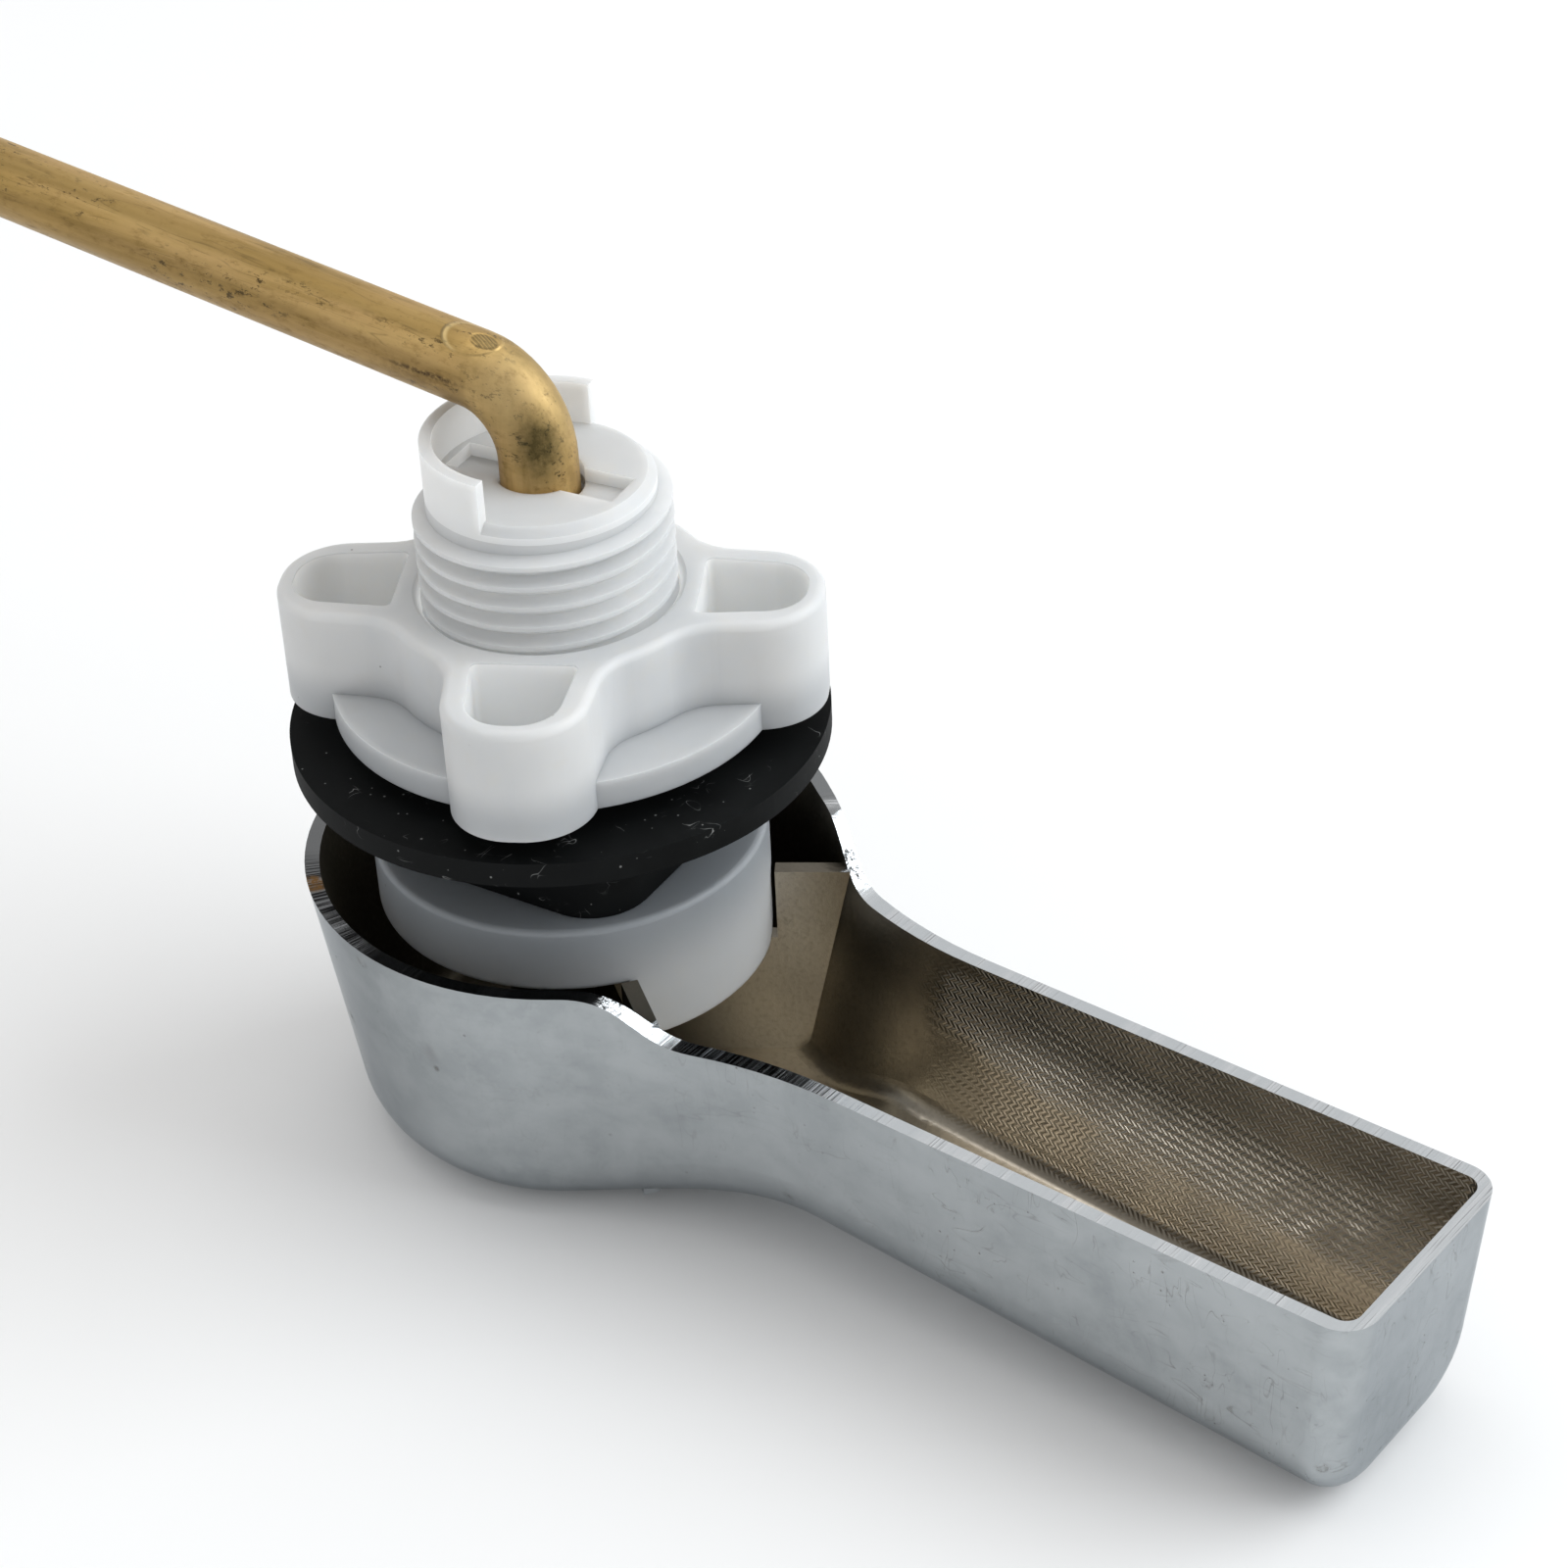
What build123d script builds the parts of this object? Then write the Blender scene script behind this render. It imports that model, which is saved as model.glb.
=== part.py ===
from build123d import *
import math
import os

# Cistern flush lever. Millimetres. +Z runs along the shank into the cistern, +X along the hand lever,
# and z = 0 is the shoulder that bears on the outside of the cistern wall.

# brass arm
rod_d = 6.4
bend_r = 6.0
arm_rise_deg = 2.5
arm_reach = 165.0
chain_hole_d = 3.2
chain_hole_inset = 8.0
rod_end_chamfer = 0.6
stem_floor_gap = 5.3

# threaded shank of the housing, a G 1/2 pipe thread
thread_major_d = 20.955
thread_pitch = 1.814
thread_depth = 1.162
thread_crest_w = 0.42
thread_root_w = 1.45
ridge_overlap = 0.15
thread_relief = 2.0
thread_run_out = 1.8
shank_h = 33.2
shank_chamfer = 0.7
stem_running_gap = 0.06
lead_in_gap = 0.3
lead_in_depth = 2.0

# crown on top of the shank: a half ring and a shallow cross recess, turned against the lever
crown_turn_deg = 11.0
crown_h = 3.6
crown_wall = 1.0
crown_arm_gap = 0.7
recess_l = 15.2
recess_w = 3.9
recess_depth = 1.2

# round body of the housing under the shoulder, with a skirt on the lever's side
body_d = 33.44
body_h = 6.0
body_edge_r = 0.5
skirt_drop = 5.8
skirt_wall = 2.4
skirt_half_deg = 34.0
skirt_corner_r = 3.0

# rubber washer with a square boss that fills the hole in the wall
wall_t = 8.7
washer_d = 44.8
washer_t = 2.2
washer_bore_gap = 0.25
boss_wall = 1.5
boss_corner_r = 5.0
boss_turn_deg = 7.0

# lock nut: round flange, four hollow wings
nut_lift = 2.1
nut_h = 10.0
nut_thread_gap = 0.15
nut_flange_d = 37.0
nut_flange_t = 2.5
nut_span = 44.8
wing_tip_w = 10.9
wing_flare_deg = 5.0
wing_end_r = 5.9
wing_root_r = 5.0
wing_side_wall = 2.0
wing_end_wall = 1.3
wing_floor = 2.6
nut_ring_t = 2.9
pocket_ring_wall = 1.7
pocket_corner_r = 0.6
pocket_round_r = 3.4
wing_turn_deg = 31.8
nut_edge_r = 0.7
nut_mouth_chamfer = 0.5

# handle casting: round hub and hollow lever, open towards the wall
rim_setback = 2.2
rim_t = 1.25
hub_gap = 4.7
hub_depth = 26.0
hub_draft_deg = 7.6
lever_drop = 4.8
lever_w = 21.86
lever_tip_x = 83.3
lever_draft_deg = 1.3
tip_draft_deg = 5.4
neck_r = 40.0
slope_start_x = 14.0
slope_run = 9.0
hub_flat_x = 4.0
underside_run = 28.0
neck_depth = 17.4
tip_depth = 20.8
bottom_edge_r = 6.6
tip_edge_r = 3.0
inner_hub_draft_deg = 11.0
inner_lever_draft_deg = 9.0
inner_tip_draft_deg = 8.0
hub_floor_t = 3.6
lever_floor_t = 2.0
floor_edge_r = 1.6
inner_tip_edge_r = 1.4
ramp_start_x = 19.0
ramp_run = 11.0
rib_deg = 34.5
rib_t = 1.4
rib_drop = 3.3
rib_body_gap = 0.35
rib_skirt_gap = 0.6
rib_bite = 0.4
socket_d = 13.0
thrust_gap = 0.3

# derived sizes
rod_r = rod_d / 2
thread_major_r = thread_major_d / 2
core_r = thread_major_r - thread_depth
body_r = body_d / 2
crown_z = shank_h + crown_h
arm_axis_z = crown_z + crown_arm_gap + rod_r
stem_bore_d = rod_d + 2 * stem_running_gap
lead_in_d = stem_bore_d + 2 * lead_in_gap
thread_start_z = wall_t + thread_relief
thread_end_z = shank_h - thread_run_out
washer_bore_d = thread_major_d + 2 * washer_bore_gap
boss_side = washer_bore_d + 2 * boss_wall
nut_bore_r = thread_major_r + nut_thread_gap
nut_z = wall_t + washer_t + nut_lift
hub_d = body_d + 2 * (hub_gap + rim_t)
rim_z = -rim_setback
lever_rim_z = rim_z - lever_drop
hub_bottom_z = rim_z - hub_depth
neck_bottom_x = hub_flat_x + underside_run
neck_bottom_z = lever_rim_z - neck_depth
tip_bottom_z = lever_rim_z - tip_depth
bottom_slope = (tip_bottom_z - neck_bottom_z) / (lever_tip_x - neck_bottom_x)
hub_floor_z = hub_bottom_z + hub_floor_t
slope_end_x = slope_start_x + slope_run
ramp_end_x = ramp_start_x + ramp_run
ramp_end_z = neck_bottom_z + (ramp_end_x - neck_bottom_x) * bottom_slope + lever_floor_t
socket_top_z = -body_h - thrust_gap
stem_bottom_z = hub_floor_z + stem_floor_gap
rib_top_z = rim_z - rib_drop
rib_low_z = -body_h - skirt_drop - rib_skirt_gap
rib_foot_z = hub_floor_z - hub_floor_t / 2
over = hub_d
far_x = lever_tip_x + tip_edge_r
far_z = tip_bottom_z + bottom_slope * tip_edge_r
outer_drafts = [math.tan(math.radians(a)) for a in (hub_draft_deg, lever_draft_deg, tip_draft_deg)]
inner_draft_degs = (inner_hub_draft_deg, inner_lever_draft_deg, inner_tip_draft_deg)
inner_drafts = [math.tan(math.radians(a)) for a in inner_draft_degs]


def plan_sizes(z, wall, drafts):
    """Hub radius, half lever width, tip x and neck arc centre x of the plan, one wall in, at height z."""
    hub_r = hub_d / 2 - wall + (z - rim_z) * drafts[0]
    half_w = lever_w / 2 - wall + (z - lever_rim_z) * drafts[1]
    tip_x = lever_tip_x - wall + (z - lever_rim_z) * drafts[2]
    side_x = math.sqrt((hub_r + neck_r) ** 2 - (half_w + neck_r) ** 2)
    return hub_r, half_w, tip_x, side_x


def wall_reach(z):
    """Distance from the shank axis, along a rib, to a little way into the handle's wall at height z."""
    hub_r, half_w, tip_x, side_x = plan_sizes(z, rim_t, inner_drafts)
    centre_y = half_w + neck_r
    along = side_x * math.cos(math.radians(rib_deg)) + centre_y * math.sin(math.radians(rib_deg))
    return along - math.sqrt(along**2 - side_x**2 - centre_y**2 + neck_r**2) + rib_bite


os.makedirs("parts", exist_ok=True)

# Arm: a round rod, upright through the shank, bent over the crown and running out opposite the lever.
with BuildPart() as arm:
    with BuildLine(Plane.XZ) as arm_path:
        stem = Line((0, stem_bottom_z), (0, arm_axis_z - bend_r))
        bend = JernArc(stem @ 1, stem % 1, bend_r, 90 - arm_rise_deg)
        Line(bend @ 1, bend @ 1 + (bend % 1) * (arm_reach - bend_r))
    with BuildSketch(Plane.XY.offset(stem_bottom_z)):
        Circle(rod_r)
    sweep()
    chamfer(arm.faces().sort_by(Axis.X)[0].edges(), rod_end_chamfer)
    chamfer(arm.faces().sort_by(Axis.Z)[0].edges(), rod_end_chamfer)
    arm_dir = arm_path.line % 1
    hole_at = arm_path.line @ 1 - arm_dir * chain_hole_inset
    with BuildSketch(Plane(origin=hole_at, x_dir=(1, 0, 0), z_dir=(0, 1, 0))):
        Circle(chain_hole_d / 2)
    extrude(amount=rod_d, both=True, mode=Mode.SUBTRACT)
arm.part.label = "arm"
export_step(arm.part, "parts/arm.step")

# Housing: round body, skirt, plain neck, threaded shank and the stepped crown, moulded as one piece.
crown_plane = Plane.XY.rotated((0, 0, crown_turn_deg))
with BuildPart() as housing:
    with BuildSketch(Plane.XY.offset(-body_h)):
        Circle(body_r)
    extrude(amount=body_h)
    fillet(housing.edges().filter_by(GeomType.CIRCLE), body_edge_r)
    with BuildSketch(Plane.XY.offset(-body_h - skirt_drop)):
        with BuildLine():
            CenterArc((0, 0), body_r, -skirt_half_deg, 2 * skirt_half_deg)
            CenterArc((0, 0), body_r - skirt_wall, -skirt_half_deg, 2 * skirt_half_deg)
            for turn in (-skirt_half_deg, skirt_half_deg):
                c = math.cos(math.radians(turn))
                s = math.sin(math.radians(turn))
                Line(((body_r - skirt_wall) * c, (body_r - skirt_wall) * s), (body_r * c, body_r * s))
        make_face()
    extrude(amount=skirt_drop + body_edge_r)
    skirt_ends = housing.edges().filter_by(lambda e: abs(e.center().Z + body_h + skirt_drop) < 0.01)
    fillet(skirt_ends.filter_by(GeomType.LINE), skirt_corner_r)
    with BuildSketch(Plane.XY):
        Circle(thread_major_r)
    extrude(amount=wall_t)
    with BuildSketch(Plane.XY.offset(wall_t)):
        Circle(core_r)
    extrude(amount=shank_h - wall_t)
    chamfer(housing.faces().sort_by(Axis.Z)[-1].edges(), shank_chamfer)
    with BuildSketch(crown_plane.offset(shank_h - shank_chamfer)):
        Circle(core_r)
        Circle(core_r - crown_wall, mode=Mode.SUBTRACT)
        with Locations((core_r, 0)):
            Rectangle(2 * core_r, 2 * core_r, mode=Mode.SUBTRACT)
    extrude(amount=crown_h + shank_chamfer)
    with BuildSketch(crown_plane.offset(shank_h)):
        Rectangle(recess_l, recess_w)
    extrude(amount=-recess_depth, mode=Mode.SUBTRACT)
    with BuildSketch(Plane.XY.offset(shank_h)):
        Circle(lead_in_d / 2)
    extrude(amount=-lead_in_depth, mode=Mode.SUBTRACT)
    with BuildSketch(Plane.XY.offset(-body_h)):
        Circle(stem_bore_d / 2)
    extrude(amount=body_h + shank_h, mode=Mode.SUBTRACT)
    with BuildLine():
        ridge_path = Helix(thread_pitch, thread_end_z - thread_start_z, core_r, center=(0, 0, thread_start_z))
    with BuildSketch(Plane(origin=ridge_path @ 0, x_dir=(1, 0, 0), z_dir=ridge_path % 0)):
        Polygon(
            (-ridge_overlap, -thread_root_w / 2),
            (thread_depth, -thread_crest_w / 2),
            (thread_depth, thread_crest_w / 2),
            (-ridge_overlap, thread_root_w / 2),
            align=None,
        )
    sweep(path=ridge_path, is_frenet=True)
housing.part.label = "housing"
export_step(housing.part, "parts/housing.step")

# Washer: rubber disc with a square boss below it.
boss_plane = Plane.XY.rotated((0, 0, boss_turn_deg))
with BuildPart() as washer:
    with BuildSketch(boss_plane):
        RectangleRounded(boss_side, boss_side, boss_corner_r)
    extrude(amount=wall_t)
    with BuildSketch(Plane.XY.offset(wall_t)):
        Circle(washer_d / 2)
    extrude(amount=washer_t)
    with BuildSketch(Plane.XY):
        Circle(washer_bore_d / 2)
    extrude(amount=wall_t + washer_t, mode=Mode.SUBTRACT)
washer.part.label = "washer"
export_step(washer.part, "parts/washer.step")

# Lock nut: threaded ring, four wings hollowed from above, and a round flange at the bottom.
wing_tip_r = nut_span / 2
wing_flare = math.tan(math.radians(wing_flare_deg))
nut_ring_r = nut_bore_r + nut_ring_t
root_half_w = wing_tip_w / 2 + wing_tip_r * wing_flare
pocket_start_r = nut_bore_r + pocket_ring_wall
pocket_end_r = wing_tip_r - wing_end_wall
pocket_in_half_w = wing_tip_w / 2 + (wing_tip_r - pocket_start_r) * wing_flare - wing_side_wall
pocket_out_half_w = wing_tip_w / 2 + (wing_tip_r - pocket_end_r) * wing_flare - wing_side_wall
with BuildPart() as lock_nut:
    with BuildSketch(Plane.XY.offset(nut_z)) as nut_outline:
        Circle(nut_ring_r)
        with PolarLocations(0, 4, start_angle=wing_turn_deg):
            Polygon(
                (0, -root_half_w),
                (wing_tip_r, -wing_tip_w / 2),
                (wing_tip_r, wing_tip_w / 2),
                (0, root_half_w),
                align=None,
            )
        roots = nut_outline.vertices().filter_by(lambda v: abs(math.hypot(v.X, v.Y) - nut_ring_r) < 0.01)
        fillet(roots, wing_root_r)
        tips = nut_outline.vertices().filter_by(lambda v: math.hypot(v.X, v.Y) > wing_tip_r)
        fillet(tips, min(wing_end_r, wing_tip_w / 2))
    extrude(amount=nut_h)
    fillet(lock_nut.faces().sort_by(Axis.Z)[-1].edges(), nut_edge_r)
    with BuildSketch(Plane.XY.offset(nut_z)):
        Circle(nut_flange_d / 2)
    extrude(amount=nut_flange_t)
    with BuildSketch(Plane.XY.offset(nut_z + nut_h)) as pockets:
        with PolarLocations(0, 4, start_angle=wing_turn_deg):
            Polygon(
                (pocket_start_r, -pocket_in_half_w),
                (pocket_end_r, -pocket_out_half_w),
                (pocket_end_r, pocket_out_half_w),
                (pocket_start_r, pocket_in_half_w),
                align=None,
            )
        pocket_middle_r = (pocket_start_r + pocket_end_r) / 2
        outer_corners = pockets.vertices().filter_by(lambda v: math.hypot(v.X, v.Y) > pocket_middle_r)
        fillet(outer_corners, min(pocket_round_r, pocket_out_half_w))
        inner_corners = pockets.vertices().filter_by(
            lambda v: abs(math.hypot(v.X, v.Y) - math.hypot(pocket_start_r, pocket_in_half_w)) < 0.01
        )
        fillet(inner_corners, pocket_corner_r)
    extrude(amount=wing_floor - nut_h, mode=Mode.SUBTRACT)
    with BuildSketch(Plane.XY.offset(nut_z)):
        Circle(nut_bore_r)
    extrude(amount=nut_h, mode=Mode.SUBTRACT)
    rings = lock_nut.edges().filter_by(GeomType.CIRCLE)
    mouth = rings.filter_by(lambda e: abs(e.radius - nut_bore_r) < 0.001)
    chamfer(mouth.sort_by(Axis.Z)[-1], nut_mouth_chamfer)
lock_nut.part.label = "lock_nut"
export_step(lock_nut.part, "parts/lock_nut.step")

# Handle, plan view: the drafted outline of hub and lever, once at the outside and once a rim thickness in.
plans = []
for wall, drafts, top_z in ((0, outer_drafts, rim_z), (rim_t, inner_drafts, rim_z + rim_setback)):
    with BuildPart() as plan:
        for z in (top_z, hub_bottom_z - hub_floor_t):
            hub_r, half_w, tip_x, side_x = plan_sizes(z, wall, drafts)
            meet = math.atan2(half_w + neck_r, side_x)
            half_turn = (math.pi + meet) / 2
            with BuildSketch(Plane.XY.offset(z)):
                with BuildLine():
                    back = ThreePointArc(
                        (-hub_r, 0),
                        (hub_r * math.cos(half_turn), hub_r * math.sin(half_turn)),
                        (hub_r * math.cos(meet), hub_r * math.sin(meet)),
                    )
                    TangentArc(back @ 1, (side_x, half_w), tangent=back % 1)
                    Polyline((side_x, half_w), (tip_x, half_w), (tip_x, 0))
                    mirror(about=Plane.XZ)
                make_face()
        loft(ruled=True)
    plans.append(plan)

# Handle, outside: the plan trimmed by the side view, with rounded bottom and tip edges.
with BuildPart() as outside:
    add(plans[0].part)
    with BuildSketch(Plane.XZ.offset(-over)):
        with BuildLine():
            Polyline((-over, hub_bottom_z), (-over, rim_z), (slope_start_x, rim_z))
            Spline((slope_start_x, rim_z), (slope_end_x, lever_rim_z), tangents=((1, 0), (1, 0)))
            Polyline(
                (slope_end_x, lever_rim_z),
                (far_x, lever_rim_z),
                (far_x, far_z),
                (neck_bottom_x, neck_bottom_z),
            )
            Spline(
                (hub_flat_x, hub_bottom_z),
                (neck_bottom_x, neck_bottom_z),
                tangents=((1, 0), (1, bottom_slope)),
            )
            Line((hub_flat_x, hub_bottom_z), (-over, hub_bottom_z))
        make_face()
    extrude(amount=2 * over, mode=Mode.INTERSECT)
    low_edges = outside.edges().filter_by(lambda e: e.center().Z < neck_bottom_z + bottom_edge_r / 2)
    long_edges = low_edges.filter_by(lambda e: e.center().X < lever_tip_x - bottom_edge_r)
    fillet(long_edges.filter_by(GeomType.LINE, reverse=True), bottom_edge_r)
    tip_edges = outside.faces().sort_by(Axis.X)[-1].edges()
    fillet(tip_edges.filter_by(lambda e: e.center().Z < lever_rim_z - tip_edge_r / 2), tip_edge_r)

# Handle, inside: the inner plan above a floor that ramps up from the hub into the lever.
with BuildPart() as hollow:
    add(plans[1].part)
    with BuildSketch(Plane.XZ.offset(-over)):
        with BuildLine():
            Polyline((-over, hub_floor_z), (ramp_start_x, hub_floor_z))
            Spline(
                (ramp_start_x, hub_floor_z),
                (ramp_end_x, ramp_end_z),
                tangents=((1, 0), (1, bottom_slope)),
            )
            Polyline(
                (ramp_end_x, ramp_end_z),
                (far_x, far_z + lever_floor_t),
                (far_x, over),
                (-over, over),
                (-over, hub_floor_z),
            )
        make_face()
    extrude(amount=2 * over, mode=Mode.INTERSECT)
    floor_edges = hollow.edges().filter_by(lambda e: e.center().Z < neck_bottom_z + bottom_edge_r / 2)
    side_edges = floor_edges.filter_by(lambda e: e.center().X < lever_tip_x - bottom_edge_r)
    fillet(side_edges.filter_by(GeomType.LINE, reverse=True), floor_edge_r)
    end_edges = hollow.faces().sort_by(Axis.X)[-1].edges()
    fillet(end_edges.filter_by(lambda e: e.center().Z < rim_z), inner_tip_edge_r)

# Handle: the casting with its two ribs and the socket that grips the stem.
with BuildPart() as handle:
    add(outside.part)
    add(hollow.part, mode=Mode.SUBTRACT)
    for turn in (-rib_deg, rib_deg):
        c = math.cos(math.radians(turn))
        s = math.sin(math.radians(turn))
        with BuildSketch(Plane(origin=(0, 0, 0), x_dir=(c, s, 0), z_dir=(s, -c, 0))):
            with BuildLine():
                Polyline(
                    (0, rib_foot_z),
                    (wall_reach(hub_floor_z), rib_foot_z),
                    (wall_reach(hub_floor_z), hub_floor_z),
                    (wall_reach(rib_top_z), rib_top_z),
                    (body_r + rib_body_gap, rib_top_z),
                    (body_r + rib_body_gap, rib_low_z),
                    (0, rib_low_z),
                    close=True,
                )
            make_face()
        extrude(amount=rib_t / 2, both=True)
    with BuildSketch(Plane.XY.offset(rib_foot_z)):
        Circle(socket_d / 2)
    extrude(amount=socket_top_z - rib_foot_z)
    with BuildSketch(Plane.XY.offset(stem_bottom_z)):
        Circle(rod_r)
    extrude(amount=socket_top_z - stem_bottom_z, mode=Mode.SUBTRACT)
handle.part.label = "handle"
export_step(handle.part, "parts/handle.step")
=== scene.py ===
import math

import bpy
import numpy as np
from mathutils import Matrix, Vector


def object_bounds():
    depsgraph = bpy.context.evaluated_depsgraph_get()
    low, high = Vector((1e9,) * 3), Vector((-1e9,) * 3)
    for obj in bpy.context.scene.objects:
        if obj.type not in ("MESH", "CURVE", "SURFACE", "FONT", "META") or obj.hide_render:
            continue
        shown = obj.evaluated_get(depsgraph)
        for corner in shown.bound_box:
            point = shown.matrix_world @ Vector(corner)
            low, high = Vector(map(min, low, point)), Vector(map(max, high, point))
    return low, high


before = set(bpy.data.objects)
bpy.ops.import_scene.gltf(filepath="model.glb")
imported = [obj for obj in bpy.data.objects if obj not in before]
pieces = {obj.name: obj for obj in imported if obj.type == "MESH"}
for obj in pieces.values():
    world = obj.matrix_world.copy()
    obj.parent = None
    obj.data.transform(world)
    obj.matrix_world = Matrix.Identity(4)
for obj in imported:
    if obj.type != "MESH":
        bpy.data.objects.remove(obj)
cad_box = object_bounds()

# Sizes that the finishes follow, in millimetres, in the part's own frame. A pair is where a finish
# starts to change and where it has changed.
RIM_Z = -2.2
RIM_R = 22.0
LEVER_RIM_Z = -7.0
RIM_SLOPE_X = (14.0, 23.0)
RIM_STRAIGHT_X = (16.0, 22.0)
RIM_DEPTH = (0.3, 0.55)
RIM_LEVEL_SLACK = 0.4
RIM_LEVEL_X = (-6.0, 4.0)
SPINE_END_X = 74.0
HUB_INNER_R = 20.9
HUB_INNER_DRAFT = 0.194
HUB_FLOOR_Z = -24.6
FLOOR_SLACK = 0.6
WORN_X = (5.0, 70.0)
HATCH_START_X = (19.0, 21.5)
HATCH_END_X = (30.0, 36.0)
UNDER_BUSH_X = (5.0, 14.0)
RIB_X = (15.0, 21.0)
RIB_Z = (-18.0, -11.0)
NECK_X = (26.0, 42.0)
CORNER_X = (26.0, 44.0)
DEEP_Z = (-15.5, -8.5)
CUTTER_X = (28.0, 48.0)
CUTTER_BAND_X = 42.0
CUTTER_BAND_FALL = 0.11
CUTTER_FOOT_Z = (-17.0, -13.5)
CUTTER_TOP_Z = (-10.5, -8.5)
CUTTER_ROW = 0.82
CUTTER_TICK = 0.58
STEM_X = (-8.0, -3.5)
STEM_UNDERSIDE_X = (-5.5, -3.0)
CRESCENT_X = (-6.6, -5.6)
GROOVE_PITCH = 0.27
GROOVE_ACROSS = (0.34, 0.94)
BODY_Z = (-8.0, 0.0)
BODY_TOP_Z = 0.3
SHANK_Z = 8.0
THREAD_R = (9.2, 10.3)
OPEN_THREAD_Z = (28.0, 31.0)
CROWN_Z = 31.9
NUT_Z = 13.0
NUT_FOOT_Z = (NUT_Z + 1.0, NUT_Z + 5.0)
NUT_TOP_Z = NUT_Z + 9.85
NUT_LIP_Z = (NUT_Z + 9.3, NUT_Z + 9.9)
NUT_BORE_R = (10.6, 11.2)
NUT_BORE_LIT_R = (10.9, 11.2)
WING_TURN = math.radians(31.8)
WING_TIP = 21.1
WING_TAPER = 0.0875
POCKET_START = (11.9, 12.4)
POCKET_END = 17.7
POCKET_HALF = (3.3, 3.95)
POCKET_FLOOR_Z = (NUT_Z + 2.2, NUT_Z + 2.7)

# Marks that stay at one place: centre and half sizes in millimetres, and how soft the edge is.
FLANK_SPECK = ((2.4, -21.2, -12.4), (0.4, 0.8, 0.5), 0.8)
FLANK_HALO = ((2.1, -21.3, -10.8), (1.1, 0.8, 1.8), 0.9)
FRONT_CHIP = ((16.9, -15.0, -3.1), (1.7, 1.6, 1.3), 0.5)
BACK_CHIP = ((19.5, 13.4, -5.2), (2.8, 1.8, 2.4), 0.5)
HATCHED_ARC = ((-12.5, -18.0, -2.2), (8.0, 5.0, 1.0), 0.6)
RUST_SPOT = ((-13.4, -17.7, -2.3), (1.6, 1.3, 1.5), 0.5)
BEND = ((1.0, 0.0, 40.5), (9.0, 6.0, 7.0), 0.6)
STAIN = ((2.0, -2.0, 37.0), (3.2, 3.2, 5.2), 0.85)
STAIN_BAND = ((-9.0, -3.0, 40.4), (8.5, 1.9, 1.8), 0.9)
CREASE = ((-8.2, -3.2, 40.95), (5.4, 1.0, 0.4), 0.8)
PRESS_DENT = ((-4.4, -0.3, 43.7), (1.45, 0.95, 0.8), 0.3)
PRESS_PAD = ((-5.6, -0.3, 43.8), (2.9, 2.3, 1.4), 0.12)
PRESS_PAD_INNER = ((-5.25, -0.3, 43.8), (2.75, 2.15, 1.4), 0.12)

# Colours, in linear light.
PLATE_GLANCE = (0.72, 0.74, 0.76, 1.0)
PLATE_DULL = (0.34, 0.365, 0.378)
PLATE_CLEAR = (0.46, 0.485, 0.498)
PLATE_BLOOM = (0.47, 0.495, 0.505)
PLATE_MARK = (0.125, 0.112, 0.095)
RIM_GREY = (0.74, 0.775, 0.80)
RIM_BRIGHT = (0.84, 0.86, 0.88)
RIM_DARK_REFLECTION = (0.15, 0.15, 0.15)
RIM_SCORE = (0.16, 0.16, 0.16)
RIM_HATCH = (0.02, 0.02, 0.02)
RIM_CHIP = (0.05, 0.05, 0.05)
RUST = (0.29, 0.16, 0.06)
SATIN_DARK_REFLECTION = (0.20, 0.18, 0.145)
SATIN_NECK_REFLECTION = (0.60, 0.545, 0.45)
SATIN_DEEP_REFLECTION = (0.80, 0.73, 0.62)
SATIN_PATCH = (0.46, 0.39, 0.31)
SATIN_GRAIN = (0.27, 0.24, 0.19)
SATIN_CORNER_SHADE = (0.12, 0.106, 0.084)
SATIN_SHADE_UNDER_BUSH = (0.13, 0.115, 0.085)
RIB_SHADED_FOOT = (0.62, 0.58, 0.50)
RIB_LIT_TOP = (0.98, 0.93, 0.83)
BRASS_OCHRE = (0.56, 0.365, 0.12)
BRASS_TAN = (0.65, 0.44, 0.19)
BRASS_BRIGHT = (0.76, 0.53, 0.22)
BRASS_STREAK = (0.36, 0.235, 0.07)
BRASS_FILM = (0.38, 0.25, 0.075)
BRASS_GRIME = (0.25, 0.16, 0.055)
BRASS_DARK_REFLECTION_BAND = (0.25, 0.165, 0.05)
BRASS_UNDERSIDE_SHADE = (0.16, 0.098, 0.028)
BRASS_POCK = (0.085, 0.058, 0.026)
BRASS_STEM_SHADE = (0.21, 0.115, 0.04)
BRASS_STAIN = (0.04, 0.036, 0.014)
BRASS_STAIN_BAND = (0.17, 0.105, 0.035)
BRASS_CREASE = (0.07, 0.042, 0.02)
BRASS_DENT = (0.22, 0.15, 0.055)
BRASS_CRESCENT = (0.92, 0.72, 0.36)
BRASS_DULLED_HIGHLIGHT = (0.42, 0.335, 0.18)
PLASTIC_COOL = (0.59, 0.605, 0.615)
PLASTIC_PALE = (0.64, 0.645, 0.645)
PLASTIC_MOTTLE = (0.62, 0.615, 0.59)
PLASTIC_HOLLOW_LIGHT = (0.86, 0.865, 0.86)
PLASTIC_SHADED = (0.29, 0.312, 0.334)
PLASTIC_FLECK = (0.10, 0.085, 0.07)
PLASTIC_PAINTED_GLOW = (0.30, 0.305, 0.305)
PLASTIC_SCATTER = (1.0, 0.94, 0.86)
RUBBER_DARK = (0.0024, 0.0029, 0.0031)
RUBBER_BLOOM = (0.005, 0.0058, 0.006)
RUBBER_DUST = (0.46, 0.47, 0.46)
GROUND_GREY = (0.905, 0.905, 0.905)
GROUND_PALE = (0.92, 0.92, 0.92)
SKY_LOW = (0.93, 0.94, 0.95)
SKY_HIGH = (1.0, 1.0, 1.0)
NO_GLOW = (0.0, 0.0, 0.0)

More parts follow.
